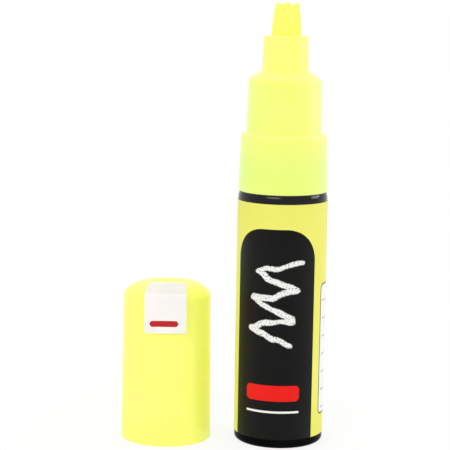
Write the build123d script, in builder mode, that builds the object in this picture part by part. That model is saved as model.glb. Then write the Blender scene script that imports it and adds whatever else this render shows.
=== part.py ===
from build123d import *
import os
from math import cos, pi, sin, sqrt

# Liquid chalk marker with a chisel nib fed through a spring valve, standing on its base beside its cap.
# Millimetres. The marker's axis is Z, the origin is the middle of its base, and the front looks along -Y.

os.makedirs("parts", exist_ok=True)

# Barrel: a closed tube that holds the ink
barrel_radius = 11.75
barrel_height = 66.7
barrel_wall = 1.5
barrel_floor = 1.8
floor_round = 1.2
foot_round = 1.2
rim_round = 1.1
recess_radius = 7.5
recess_depth = 0.5

# Printed film glued round the barrel
film_thickness = 0.12
glue_gap = 0.02
film_start = 2.5
neck_band = 2.25

# Front section: spigot inside the barrel, collar, step, shoulder and nib holder
spigot_length = 9.0
spigot_wall = 1.66
spigot_clearance = 0.05
collar_height = 15.1
collar_inset = 0.06
collar_draft = 0.42
collar_low_round = 0.5
collar_top_round = 0.9
collar_ledge = 1.45
step_height = 14.05
step_draft = 0.28
shoulder_height = 2.25
shoulder_round = 0.4
holder_height = 8.95
holder_wall = 1.78
holder_draft = 0.26
holder_round = 0.5
ceiling_drop = 0.9
air_groove_count = 4
air_groove_width = 1.0
air_groove_depth = 0.5

# Snap bead and seal ring between the front section and the barrel
snap_drop = 6.0
snap_height = 1.4
snap_depth = 0.3
snap_clearance = 0.05
ring_drop = 2.4
ring_height = 1.4
ring_depth = 0.7
ring_clearance = 0.02

# Nib: a pressed fibre rod with two flats that meet the writing edge
nib_radius = 4.0
nib_clearance = 0.06
nib_reach = 8.55
chisel_length = 13.4
tip_thickness = 1.5
tip_offset = 0.25
tip_round = 0.25
nib_end_chamfer = 0.4
nib_turn = 37.0

# Valve: seat, plunger with its seal, spring and cage
ledge_drop = 1.5
ledge_width = 0.5
valve_clearance = 0.05
seat_thickness = 2.0
seat_rise = 1.5
seat_ring_wall = 1.3
lip_height = 0.4
lip_width = 0.8
seal_gap = 0.02
seal_thickness = 1.2
seal_margin = 0.3
stem_radius = 1.5
stem_rise = 5.5
pad_radius = 2.4
pad_thickness = 1.2
pad_clearance = 0.3
head_radius = 4.2
head_thickness = 1.5
tail_reach = 1.0
guide_clearance = 0.06
spring_length = 12.0
spring_radius = 3.3
spring_turns = 5
spring_clearance = 0.05
wire_radius = 0.3
boss_height = 1.0
boss_clearance = 0.25
cage_clearance = 0.8
cage_wall = 1.2
cage_floor = 1.2
cage_flange = 1.5
catch_depth = 0.2
catch_height = 0.8
window_width = 3.0
window_height = 6.0
window_sill = 2.0

# Mixing balls, loose in the ink
ball_radius = 4.0
ball_gap = 0.8
ball_clearance = 0.05

# Cap, standing on its rim beside the marker
cap_gap = 6.22
cap_turn = 1.5
cap_step_gap = 0.3
cap_wall = 1.81
cap_draft = 0.44
cap_bore_draft = 0.35
cap_roof = 2.1
cap_edge_width = 4.8
cap_edge_drop = 2.9
cap_crease_round = 0.5
cap_rim_round = 0.15
cap_lead_in = 0.4
rib_count = 6
rib_width = 1.2
rib_start = 2.0
rib_length = 9.0
rib_clearance = 0.05
socket_wall = 1.0
socket_depth = 7.0
socket_clearance = 0.03

# Inner cap, which closes round the nib holder
inner_lip_gap = 0.9
inner_lip_height = 2.5
inner_lip_lead = 0.3
inner_lip_clearance = 0.04
inner_relief = 0.4
inner_wall = 1.0
inner_roof = 1.4
nib_room = 4.2

# Clip: a plate down the cap's front and a tongue in its roof, which falls a little to the front
clip_width = 10.9
clip_height = 11.0
clip_thickness = 1.4
clip_gap = 0.6
clip_proud = 0.1
tongue_length = 13.4
tongue_fall = 0.6
tongue_taper = 1.0
tongue_end_round = 1.5
bend_round = 0.5
inner_bend_round = 1.0
clip_corner_round = 0.35
pocket_clearance = 0.05
peg_radius = 1.2
peg_spacing = 5.6
peg_setback = 4.5

# Radii worked out from the barrel inwards
bore_radius = barrel_radius - barrel_wall
film_inner_radius = barrel_radius + glue_gap
film_radius = film_inner_radius + film_thickness
spigot_radius = bore_radius - spigot_clearance
valve_chamber_radius = spigot_radius - spigot_wall
nib_chamber_radius = valve_chamber_radius - ledge_width
collar_base_radius = barrel_radius - collar_inset
collar_top_radius = collar_base_radius - collar_draft
step_base_radius = collar_top_radius - collar_ledge
step_top_radius = step_base_radius - step_draft
nib_bore_radius = nib_radius + nib_clearance
holder_top_radius = nib_bore_radius + holder_wall
holder_base_radius = holder_top_radius + holder_draft

# Heights of the front section, from the barrel's rim upwards
spigot_bottom = barrel_height - spigot_length
collar_top = barrel_height + collar_height
step_top = collar_top + step_height
shoulder_top = step_top + shoulder_height
holder_top = shoulder_top + holder_height
nib_top = holder_top + nib_reach
shoulder_slope = shoulder_height / (step_top_radius - holder_base_radius)
ceiling_bottom = step_top - ceiling_drop
ceiling_top = ceiling_bottom + (nib_chamber_radius - nib_bore_radius) * shoulder_slope

# Heights of the valve, from the ledge that carries it downwards
ledge = collar_top - ledge_drop
seat_bottom = ledge - seat_thickness
lip_bottom = seat_bottom - lip_height
seal_top = lip_bottom - seal_gap
seal_bottom = seal_top - seal_thickness
head_bottom = seal_bottom - head_thickness
cage_flange_bottom = seat_bottom - cage_flange
cage_floor_top = head_bottom - spring_length
cage_bottom = cage_floor_top - cage_floor
tail_bottom = cage_bottom - tail_reach
nib_bottom = ledge + stem_rise
stem_hole_radius = pad_radius + pad_clearance
boss_radius = spring_radius - wire_radius - boss_clearance
cage_bore_radius = head_radius + cage_clearance
cage_radius = cage_bore_radius + cage_wall

# Cap sizes, from the step and the nib that it covers
cap_bore_radius = step_base_radius + cap_step_gap
cap_radius = cap_bore_radius + cap_wall
inner_bottom = step_height + shoulder_height + inner_lip_gap
inner_ceiling = step_height + shoulder_height + holder_height + nib_reach + nib_room
inner_top = inner_ceiling + inner_roof
cap_height = inner_top + cap_roof
cap_edge = cap_height - cap_edge_drop
cap_edge_radius = cap_radius - cap_draft * cap_edge / cap_height
cap_flat_radius = cap_edge_radius - cap_edge_width
cap_bore_top_radius = cap_bore_radius - cap_bore_draft
inner_lip_radius = holder_base_radius + inner_lip_clearance
inner_bore_radius = inner_lip_radius + inner_relief
inner_radius = inner_bore_radius + inner_wall
socket_radius = inner_radius + socket_clearance

# Places of the cap and of the clip on it
cap_x = -(film_radius + cap_gap + cap_radius)
cap_floor = Plane((cap_x, 0, 0)).rotated((0, 0, cap_turn))
cap_section = Plane(cap_floor.origin, x_dir=cap_floor.x_dir, z_dir=-cap_floor.y_dir)
cap_axis = Axis(cap_floor.origin, cap_floor.z_dir)
tongue_top = cap_height + clip_proud
tongue_front = tongue_top - tongue_fall
tongue_bottom = tongue_top - clip_thickness
clip_bottom = tongue_top - clip_height
clip_back = cap_radius - cap_draft * clip_bottom / cap_height + clip_gap
clip_front = clip_back + clip_thickness
tongue_end = clip_front - tongue_length
tongue_end_width = clip_width - tongue_taper
peg_y = -(tongue_end + peg_setback)


def corner(profile, radius, height):
    """The corner of a section profile that lies nearest to a radius and a height."""
    return profile.vertices().sort_by_distance((radius, height))[0]


def bead(radius, middle, depth, height):
    """Four points down the section of a low bead or groove whose flanks slope at 45 degrees."""
    half = height / 2
    flat = half - abs(depth)
    return (
        (radius, middle + half),
        (radius + depth, middle + flat),
        (radius + depth, middle - flat),
        (radius, middle - half),
    )


# Barrel, with the snap groove near its mouth and a shallow recess in its base
snap_middle = barrel_height - snap_drop
snap_groove_height = snap_height + 2 * snap_clearance

with BuildPart() as barrel:
    with BuildSketch(Plane.XZ) as barrel_profile:
        with BuildLine():
            Polyline(
                (0, recess_depth),
                (recess_radius, recess_depth),
                (recess_radius, 0),
                (barrel_radius, 0),
                (barrel_radius, barrel_height),
                (bore_radius, barrel_height),
                *bead(bore_radius, snap_middle, snap_depth, snap_groove_height),
                (bore_radius, barrel_floor),
                (0, barrel_floor),
                close=True,
            )
        make_face()
        fillet(corner(barrel_profile, barrel_radius, 0), foot_round)
        fillet(corner(barrel_profile, barrel_radius, barrel_height), rim_round)
        fillet(corner(barrel_profile, bore_radius, barrel_floor), floor_round)
    revolve(axis=Axis.Z)
barrel.part.label = "barrel"
export_step(barrel.part, "parts/barrel.step")


# Film sleeve, from just above the foot to just below the barrel's rim
film_top = barrel_height - neck_band

with BuildPart() as label_film:
    with BuildSketch(Plane.XY.offset(film_start)):
        Circle(film_radius)
        Circle(film_inner_radius, mode=Mode.SUBTRACT)
    extrude(amount=film_top - film_start)
label_film.part.label = "label_film"
export_step(label_film.part, "parts/label_film.step")


# Front section: one stepped moulding, hollow for the valve and bored for the nib
bead_depth = snap_depth - snap_clearance
ring_middle = barrel_height - ring_drop
catch_middle = cage_flange_bottom - valve_clearance - catch_height / 2

with BuildPart() as front_section:
    with BuildSketch(Plane.XZ) as front_profile:
        with BuildLine():
            Polyline(
                (valve_chamber_radius, spigot_bottom),
                (spigot_radius, spigot_bottom),
                *reversed(bead(spigot_radius, snap_middle, bead_depth, snap_height)),
                (spigot_radius, ring_middle - ring_height / 2),
                (spigot_radius - ring_depth, ring_middle - ring_height / 2),
                (spigot_radius - ring_depth, ring_middle + ring_height / 2),
                (spigot_radius, ring_middle + ring_height / 2),
                (spigot_radius, barrel_height),
                (collar_base_radius, barrel_height),
                (collar_top_radius, collar_top),
                (step_base_radius, collar_top),
                (step_top_radius, step_top),
                (holder_base_radius, shoulder_top),
                (holder_top_radius, holder_top),
                (nib_bore_radius, holder_top),
                (nib_bore_radius, ceiling_top),
                (nib_chamber_radius, ceiling_bottom),
                (nib_chamber_radius, ledge),
                (valve_chamber_radius, ledge),
                *bead(valve_chamber_radius, catch_middle, -catch_depth, catch_height),
                close=True,
            )
        make_face()
        fillet(corner(front_profile, collar_base_radius, barrel_height), collar_low_round)
        fillet(corner(front_profile, collar_top_radius, collar_top), collar_top_round)
        fillet(corner(front_profile, step_top_radius, step_top), shoulder_round)
        fillet(corner(front_profile, holder_top_radius, holder_top), holder_round)
    revolve(axis=Axis.Z)
    with BuildSketch(Plane.XY.offset(holder_top)):
        with PolarLocations(nib_bore_radius, air_groove_count):
            Rectangle(2 * air_groove_depth, air_groove_width)
    extrude(amount=-(holder_top - ceiling_bottom), mode=Mode.SUBTRACT)
front_section.part.label = "front_section"
export_step(front_section.part, "parts/front_section.step")


# Seal ring in the spigot's groove, as squeezed by the barrel
ring_inner_radius = spigot_radius - ring_depth + ring_clearance
ring_outer_radius = bore_radius - ring_clearance
ring_corner_round = (ring_outer_radius - ring_inner_radius) / 3

with BuildPart() as joint_seal:
    with BuildSketch(Plane.XZ):
        with Locations(((ring_inner_radius + ring_outer_radius) / 2, ring_middle)):
            RectangleRounded(
                ring_outer_radius - ring_inner_radius,
                ring_height - 2 * ring_clearance,
                ring_corner_round,
            )
    revolve(axis=Axis.Z)
joint_seal.part.label = "joint_seal"
export_step(joint_seal.part, "parts/joint_seal.step")


# Nib: a round rod cut by two sloping flats to a chisel edge
nib_length = nib_top - nib_bottom
chisel_slope = (nib_radius - tip_thickness / 2) / chisel_length
chisel_foot = tip_thickness / 2 + chisel_slope * nib_length
nib_axes = Plane.XY.rotated((0, 0, nib_turn))
nib_side = Plane((0, 0, 0), x_dir=nib_axes.x_dir, z_dir=-nib_axes.y_dir)

with BuildPart() as nib:
    with BuildSketch(Plane.XY.offset(nib_bottom)):
        Circle(nib_radius)
    extrude(amount=nib_length)
    chamfer(nib.faces().sort_by(Axis.Z)[0].edges(), nib_end_chamfer)
    with BuildSketch(nib_side):
        with BuildLine():
            Polyline(
                (-chisel_foot, nib_bottom),
                (chisel_foot, nib_bottom),
                (tip_offset + tip_thickness / 2, nib_top),
                (tip_offset - tip_thickness / 2, nib_top),
                close=True,
            )
        make_face()
    extrude(amount=nib_radius, both=True, mode=Mode.INTERSECT)
    fillet(nib.faces().sort_by(Axis.Z)[-1].edges(), tip_round)
nib.part.label = "nib"
export_step(nib.part, "parts/nib.step")


# Valve seat: a disc held against the ledge, with a sealing lip under its middle hole
flange_radius = valve_chamber_radius - valve_clearance
seat_ring_radius = nib_chamber_radius - valve_clearance

with BuildPart() as valve_seat:
    with BuildSketch(Plane.XZ):
        with BuildLine():
            Polyline(
                (stem_hole_radius, lip_bottom),
                (stem_hole_radius + lip_width, lip_bottom),
                (stem_hole_radius + lip_width, seat_bottom),
                (flange_radius, seat_bottom),
                (flange_radius, ledge),
                (seat_ring_radius, ledge),
                (seat_ring_radius, ledge + seat_rise),
                (seat_ring_radius - seat_ring_wall, ledge + seat_rise),
                (seat_ring_radius - seat_ring_wall, ledge),
                (stem_hole_radius, ledge),
                close=True,
            )
        make_face()
    revolve(axis=Axis.Z)
valve_seat.part.label = "valve_seat"
export_step(valve_seat.part, "parts/valve_seat.step")


# Plunger: pad under the nib, stem through the seat, head under the seal and tail inside the spring
with BuildPart() as valve_plunger:
    with BuildSketch(Plane.XZ):
        with BuildLine():
            Polyline(
                (0, tail_bottom),
                (stem_radius, tail_bottom),
                (stem_radius, head_bottom - boss_height),
                (boss_radius, head_bottom - boss_height),
                (boss_radius, head_bottom),
                (head_radius, head_bottom),
                (head_radius, seal_bottom),
                (stem_radius, seal_bottom),
                (stem_radius, nib_bottom - pad_thickness),
                (pad_radius, nib_bottom - pad_thickness),
                (pad_radius, nib_bottom),
                (0, nib_bottom),
                close=True,
            )
        make_face()
    revolve(axis=Axis.Z)
valve_plunger.part.label = "valve_plunger"
export_step(valve_plunger.part, "parts/valve_plunger.step")


# Seal washer on the plunger's head, just wider than the seat's lip
seal_radius = stem_hole_radius + lip_width + seal_margin

with BuildPart() as plunger_seal:
    with BuildSketch(Plane.XY.offset(seal_bottom)):
        Circle(seal_radius)
        Circle(stem_radius + seal_gap, mode=Mode.SUBTRACT)
    extrude(amount=seal_thickness)
plunger_seal.part.label = "plunger_seal"
export_step(plunger_seal.part, "parts/plunger_seal.step")


# Cage: a flanged cup under the seat, with windows for the ink and a guide for the plunger's tail
guide_radius = stem_radius + guide_clearance
window_middle = cage_floor_top + window_sill + window_height / 2

with BuildPart() as valve_cage:
    with BuildSketch(Plane.XZ):
        with BuildLine():
            Polyline(
                (guide_radius, cage_bottom),
                (cage_radius, cage_bottom),
                (cage_radius, cage_flange_bottom),
                (flange_radius, cage_flange_bottom),
                (flange_radius, seat_bottom),
                (cage_bore_radius, seat_bottom),
                (cage_bore_radius, cage_floor_top),
                (boss_radius, cage_floor_top),
                (boss_radius, cage_floor_top + boss_height),
                (guide_radius, cage_floor_top + boss_height),
                close=True,
            )
        make_face()
    revolve(axis=Axis.Z)
    for window_side in (Plane.XZ, Plane.YZ):
        with BuildSketch(window_side):
            with Locations((0, window_middle)):
                SlotOverall(window_height, window_width, rotation=90)
        extrude(amount=cage_radius, both=True, mode=Mode.SUBTRACT)
valve_cage.part.label = "valve_cage"
export_step(valve_cage.part, "parts/valve_cage.step")


# Spring: one round wire wound as a helix, each quarter turn drawn as two tangent arcs
quarters = 4 * spring_turns
coil_bottom = cage_floor_top + wire_radius + spring_clearance
coil_rise = spring_length - 2 * (wire_radius + spring_clearance)
coil_pitch = coil_rise / spring_turns


def coil_point(angle):
    """The wire's centre after this angle, in radians from the lower end."""
    height = coil_bottom + coil_pitch * angle / (2 * pi)
    return Vector(spring_radius * cos(angle), spring_radius * sin(angle), height)


def coil_direction(angle):
    """The way the wire runs at this angle."""
    return Vector(-sin(angle), cos(angle), coil_pitch / (2 * pi * spring_radius)).normalized()


with BuildPart() as valve_spring:
    with BuildLine() as coil:
        for quarter in range(quarters):
            start_angle = quarter * pi / 2
            end_angle = start_angle + pi / 2
            start = coil_point(start_angle)
            end = coil_point(end_angle)
            start_way = coil_direction(start_angle)
            end_way = coil_direction(end_angle)
            chord = end - start
            along = chord.dot(start_way + end_way)
            turn = 2 * (1 - start_way.dot(end_way))
            reach = (sqrt(along**2 + turn * chord.dot(chord)) - along) / turn
            middle = (start + end + (start_way - end_way) * reach) / 2
            first_arc = TangentArc(start, middle, tangent=start_way)
            TangentArc(middle, end, tangent=first_arc % 1)
    with BuildSketch(Plane(coil_point(0), z_dir=coil_direction(0))):
        Circle(wire_radius)
    sweep(path=coil.wires()[0])
valve_spring.part.label = "valve_spring"
export_step(valve_spring.part, "parts/valve_spring.step")

points_per_turn = 48
coil_points = [coil_point(2 * pi * i / points_per_turn) for i in range(points_per_turn * spring_turns + 1)]
half_turn = points_per_turn // 2
least_gap = min(
    (coil_points[j] - coil_points[i]).length - 2 * wire_radius
    for i in range(len(coil_points))
    for j in range(i + half_turn, len(coil_points))
)
print(f"valve spring: least gap between turns {least_gap:.2f} mm")


# Mixing balls, resting on the barrel's floor side by side
ball_offset = ball_radius + ball_gap / 2
ball_height = barrel_floor + ball_clearance + ball_radius

for ball_number, side in enumerate((-1, 1), start=1):
    ball_name = f"agitator_ball_{ball_number}"
    with BuildPart(Plane((side * ball_offset, 0, ball_height))) as agitator_ball:
        Sphere(ball_radius)
    agitator_ball.part.label = ball_name
    export_step(agitator_ball.part, f"parts/{ball_name}.step")


# Plan of the clip, which its pocket in the cap's roof follows
with BuildSketch() as clip_plan:
    with BuildLine():
        Polyline(
            (-clip_width / 2, -clip_front),
            (clip_width / 2, -clip_front),
            (tongue_end_width / 2, -tongue_end),
            (-tongue_end_width / 2, -tongue_end),
            close=True,
        )
    make_face()
    fillet(clip_plan.vertices().group_by(Axis.Y)[-1], tongue_end_round)


# Cap shell: tapered cup with grip ribs near its mouth, a socket under its roof and a pocket for the clip
socket_bottom = inner_top - socket_depth
rib_inner_radius = step_base_radius + rib_clearance
rib_outer_radius = cap_bore_radius + cap_wall / 2
pocket_depth = cap_height - tongue_bottom

with BuildPart() as cap_shell:
    with BuildSketch(cap_section) as cap_profile:
        with BuildLine():
            domed_edge = TangentArc(
                (cap_flat_radius, cap_height), (cap_edge_radius, cap_edge), tangent=(1, 0)
            )
            Polyline(
                domed_edge @ 1,
                (cap_radius, 0),
                (cap_bore_radius, 0),
                (cap_bore_top_radius, inner_top),
                (socket_radius + socket_wall, inner_top),
                (socket_radius + socket_wall, socket_bottom),
                (socket_radius, socket_bottom),
                (socket_radius, inner_top),
                (0, inner_top),
                (0, cap_height),
                domed_edge @ 0,
            )
        make_face()
        fillet(corner(cap_profile, cap_edge_radius, cap_edge), cap_crease_round)
        fillet(corner(cap_profile, cap_radius, 0), cap_rim_round)
        chamfer(corner(cap_profile, cap_bore_radius, 0), cap_lead_in)
    revolve(axis=cap_axis)
    with BuildSketch(cap_floor.offset(rib_start)):
        with PolarLocations((rib_inner_radius + rib_outer_radius) / 2, rib_count):
            Rectangle(rib_outer_radius - rib_inner_radius, rib_width)
    extrude(amount=rib_length)
    with BuildSketch(cap_floor.offset(cap_height)):
        add(clip_plan.sketch)
        offset(amount=pocket_clearance)
    extrude(amount=-pocket_depth, mode=Mode.SUBTRACT)
    with BuildSketch(cap_floor.offset(cap_height)):
        with Locations((0, peg_y)):
            with GridLocations(peg_spacing, 0, 2, 1):
                Circle(peg_radius + pocket_clearance)
    extrude(amount=-cap_roof, mode=Mode.SUBTRACT)
cap_shell.part.label = "cap_shell"
export_step(cap_shell.part, "parts/cap_shell.step")


# Inner cap: a cup pressed into the socket, whose lip closes round the nib holder
lip_top = inner_bottom + inner_lip_height

with BuildPart() as inner_cap:
    with BuildSketch(cap_section) as inner_profile:
        with BuildLine():
            Polyline(
                (0, inner_top),
                (inner_radius, inner_top),
                (inner_radius, inner_bottom),
                (inner_lip_radius, inner_bottom),
                (inner_lip_radius, lip_top),
                (inner_bore_radius, lip_top + inner_relief),
                (inner_bore_radius, inner_ceiling),
                (0, inner_ceiling),
                close=True,
            )
        make_face()
        chamfer(corner(inner_profile, inner_lip_radius, inner_bottom), inner_lip_lead)
    revolve(axis=cap_axis)
inner_cap.part.label = "inner_cap"
export_step(inner_cap.part, "parts/inner_cap.step")


# Clip: front plate and tongue in one piece, with two pegs through the roof
clip_side = Plane(cap_floor.origin, x_dir=cap_floor.y_dir, z_dir=cap_floor.x_dir)
peg_length = tongue_bottom - inner_top - pocket_clearance

with BuildPart() as cap_clip:
    with BuildSketch(clip_side) as clip_profile:
        with BuildLine():
            Polyline(
                (-clip_front, clip_bottom),
                (-clip_front, tongue_front),
                (-tongue_end, tongue_top),
                (-tongue_end, tongue_bottom),
                (-clip_back, tongue_bottom),
                (-clip_back, clip_bottom),
                close=True,
            )
        make_face()
        fillet(corner(clip_profile, -clip_front, tongue_front), bend_round)
        fillet(corner(clip_profile, -clip_back, tongue_bottom), inner_bend_round)
    extrude(amount=clip_width / 2, both=True)
    with BuildSketch(cap_floor.offset(clip_bottom)):
        add(clip_plan.sketch)
    extrude(amount=clip_height, mode=Mode.INTERSECT)
    plate_foot = cap_clip.edges().group_by(Axis.Z)[0].sort_by(SortBy.LENGTH)
    fillet(plate_foot[:2], clip_corner_round)
    with BuildSketch(cap_floor.offset(tongue_bottom)):
        with Locations((0, peg_y)):
            with GridLocations(peg_spacing, 0, 2, 1):
                Circle(peg_radius)
    extrude(amount=-peg_length)
cap_clip.part.label = "cap_clip"
export_step(cap_clip.part, "parts/cap_clip.step")
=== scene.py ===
from math import asin, atan2, cos, hypot, pi, radians, sin, tan

import bmesh
import bpy
from mathutils import Matrix, Vector, noise


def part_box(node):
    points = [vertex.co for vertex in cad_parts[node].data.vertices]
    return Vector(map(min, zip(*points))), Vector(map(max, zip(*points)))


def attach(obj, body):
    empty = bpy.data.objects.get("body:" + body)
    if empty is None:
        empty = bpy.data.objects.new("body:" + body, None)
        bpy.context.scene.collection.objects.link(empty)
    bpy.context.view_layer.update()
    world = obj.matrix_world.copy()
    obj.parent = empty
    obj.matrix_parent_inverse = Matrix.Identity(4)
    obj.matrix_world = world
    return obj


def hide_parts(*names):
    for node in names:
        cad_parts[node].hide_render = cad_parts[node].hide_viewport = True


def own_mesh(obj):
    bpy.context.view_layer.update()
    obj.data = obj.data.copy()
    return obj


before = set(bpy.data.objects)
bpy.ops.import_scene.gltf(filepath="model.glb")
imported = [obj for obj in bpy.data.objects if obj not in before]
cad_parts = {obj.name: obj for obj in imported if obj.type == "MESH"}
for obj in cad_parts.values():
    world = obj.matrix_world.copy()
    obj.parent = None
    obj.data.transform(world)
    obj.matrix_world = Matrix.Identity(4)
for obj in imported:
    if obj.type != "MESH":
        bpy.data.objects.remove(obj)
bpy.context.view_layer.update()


# Barrel: the closed tube that holds the ink, injection moulded in black polypropylene.
# Its sloping lip stays bare and glossy above the label, and the recess in its base keeps
# the small mark of the injection gate.

mm = 0.001
barrel_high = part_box("barrel")[1]
barrel_radius = barrel_high.x
barrel_height = barrel_high.z
barrel_wall = 1.5 * mm
barrel_bore = barrel_radius - barrel_wall
barrel_floor = 1.8 * mm
base_recess_radius = 7.5 * mm
base_recess_depth = 0.5 * mm
recess_round = 0.3 * mm
gate_radius = 1.1 * mm
gate_height = 0.3 * mm
base_round = 1.2 * mm
foot_edge_round = 0.15 * mm
mouth_round = 0.1 * mm
snap_height = barrel_height - 6.0 * mm
snap_depth = 0.3 * mm
snap_half = 0.75 * mm
neck_slope = radians(24)
neck_rise = 0.9 * mm
neck_round = 0.7 * mm
neck_edge_round = 0.18 * mm
neck_top_radius = barrel_radius - neck_rise * tan(neck_slope)
crease_angle = radians(35)
grain_per_smudge = 0.06
black_plastic = (0.0022, 0.0021, 0.0020, 1)
black_smudged = (0.0040, 0.0039, 0.0038, 1)


def ring_corners(radius, middle, depth, half):
    """Four corners down the outline of a low ring or groove whose flanks slope at 45 degrees."""
    flat = half - abs(depth)
    return [
        (radius, middle + half), (radius + depth, middle + flat),
        (radius + depth, middle - flat), (radius, middle - half),
    ]


def round_off(mesh, geom, offset, segments, affect="VERTICES"):
    """Bevels corners of a flat outline, or edges, into round ones."""
    bmesh.ops.bevel(
        mesh, geom=geom, offset=offset, segments=segments, profile=0.5, affect=affect, material=-1,
    )


def turned(outline, steps=160):
    """A closed mesh turned about the upright axis from an outline.

    Its corners are (radius, height) or (radius, height, rounding).
    """
    least_step = 1e-7
    mesh = bmesh.new()
    corners = [mesh.verts.new((point[0], 0, point[1])) for point in outline]
    mesh.faces.new(corners)
    for vertex, point in zip(corners, outline):
        if len(point) == 3:
            rounding = point[2]
            round_off(mesh, [vertex], rounding, segments=5 + round(rounding / (0.4 * mm)))
    bmesh.ops.delete(mesh, geom=mesh.faces[:], context="FACES_ONLY")
    on_axis = [edge for edge in mesh.edges if all(abs(v.co.x) < least_step for v in edge.verts)]
    bmesh.ops.delete(mesh, geom=on_axis, context="EDGES")
    bmesh.ops.spin(
        mesh, geom=mesh.verts[:] + mesh.edges[:], cent=(0, 0, 0), axis=(0, 0, 1), angle=2 * pi,
        steps=steps, use_merge=True,
    )
    bmesh.ops.remove_doubles(mesh, verts=mesh.verts[:], dist=least_step)
    bmesh.ops.recalc_face_normals(mesh, faces=mesh.faces[:])
    return mesh


def fit_piece(name, mesh, material, body, slot, *nodes):
    """The finished mesh as an object that rides a body and stands for CAD nodes."""
    data = bpy.data.meshes.new(name)
    mesh.to_mesh(data)
    mesh.free()
    data.shade_smooth()
    data.set_sharp_from_angle(angle=crease_angle)
    data.materials.append(material)
    made = bpy.data.objects.new(name, data)
    bpy.context.scene.collection.objects.link(made)
    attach(made, body)
    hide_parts(*nodes)
    return made


def put(tree, kind, inputs=None, **settings):
    """One shader node with its settings, whose inputs are plain values or other nodes' outputs."""
    made = tree.nodes.new("ShaderNode" + kind)
    for setting, value in settings.items():
        setattr(made, setting, value)
    for socket, value in (inputs or {}).items():
        if isinstance(value, bpy.types.NodeSocket):
            tree.links.new(value, made.inputs[socket])
        else:
            made.inputs[socket].default_value = value
    return made


def calc(tree, operation, *values):
    """The output of one Math node."""
    return put(tree, "Math", dict(enumerate(values)), operation=operation).outputs[0]


def blend_colours(tree, factor, first, second):
    """The first colour turning into the second as the factor goes from 0 to 1."""
    return put(tree, "Mix", {0: factor, 6: first, 7: second}, data_type="RGBA").outputs[2]


def ramp(tree, value, low=0.0, high=1.0, start=0.0, end=1.0):
    """A value that goes smoothly from start to end while the input goes from low to high."""
    ends = {"Value": value, "From Min": low, "From Max": high, "To Min": start, "To Max": end}
    return put(tree, "MapRange", ends, interpolation_type="SMOOTHSTEP").outputs["Result"]


def noise_at(tree, vector, scale, detail=2.0):
    """The grey value of a noise texture."""
    return put(tree, "TexNoise", {"Vector": vector, "Scale": scale, "Detail": detail}).outputs["Fac"]


def new_group(name, inputs, outputs):
    """A shader node group with number inputs and outputs, and its two end nodes."""
    tree = bpy.data.node_groups.new(name, "ShaderNodeTree")
    for socket in inputs:
        tree.interface.new_socket(socket, in_out="INPUT", socket_type="NodeSocketFloat")
    for socket in outputs:
        tree.interface.new_socket(socket, in_out="OUTPUT", socket_type="NodeSocketFloat")
    return tree, tree.nodes.new("NodeGroupInput"), tree.nodes.new("NodeGroupOutput")


def make_moulded_skin():
    """Moulded surface: fine grain with faint scratches as a height, and broad handling smudges."""
    scales = ("Grain Scale", "Smudge Scale")
    tree, given, result = new_group("moulded_skin", scales, ("Height", "Smudge"))
    place = put(tree, "TexCoord").outputs["Object"]
    grain = noise_at(tree, place, given.outputs["Grain Scale"])
    drawn = put(tree, "Mapping", {"Vector": place, "Scale": (1, 1, 0.06), "Rotation": (0.1, 0.16, 0)})
    streaks = noise_at(tree, drawn.outputs["Vector"], given.outputs["Grain Scale"], detail=4.0)
    scratches = ramp(tree, streaks, low=0.62, high=0.72)
    height = calc(tree, "MULTIPLY_ADD", scratches, -0.5, grain)
    patches = noise_at(tree, place, given.outputs["Smudge Scale"], detail=3.0)
    smudge = ramp(tree, patches, low=0.35, high=0.7)
    tree.links.new(height, result.inputs["Height"])
    tree.links.new(smudge, result.inputs["Smudge"])
    return tree


moulded_skin = make_moulded_skin()


def skin_of(tree, grain, smudge_size):
    """The relief and the smudges of a moulded surface, at their own sizes."""
    scales = {"Grain Scale": 1 / grain, "Smudge Scale": 1 / smudge_size}
    skin = put(tree, "Group", scales, node_tree=moulded_skin)
    return skin.outputs["Height"], skin.outputs["Smudge"]


def new_material(name):
    """An empty node material with its tree and its shader."""
    material = bpy.data.materials.new(name)
    material.use_nodes = True
    return material, material.node_tree, material.node_tree.nodes["Principled BSDF"]


def cover(tree, shader, colour, gloss, relief, depth, strength):
    """Gives the shader a colour, a roughness and a relief that change over the surface."""
    bump = put(tree, "Bump", {"Height": relief, "Distance": depth, "Strength": strength})
    tree.links.new(colour, shader.inputs["Base Color"])
    tree.links.new(gloss, shader.inputs["Roughness"])
    tree.links.new(bump.outputs["Normal"], shader.inputs["Normal"])


def moulded_plastic(name, clean, smudged, roughness, grain=0.7 * mm, specular=0.5):
    """Moulded plastic whose colour and gloss change a little with handling."""
    material, tree, shader = new_material(name)
    relief, smudge = skin_of(tree, grain, grain / grain_per_smudge)
    colour = blend_colours(tree, smudge, clean, smudged)
    gloss = ramp(tree, smudge, start=roughness - 0.04, end=roughness + 0.05)
    cover(tree, shader, colour, gloss, relief, depth=0.004 * mm, strength=0.6)
    shader.inputs["Specular IOR Level"].default_value = specular
    return material


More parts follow.
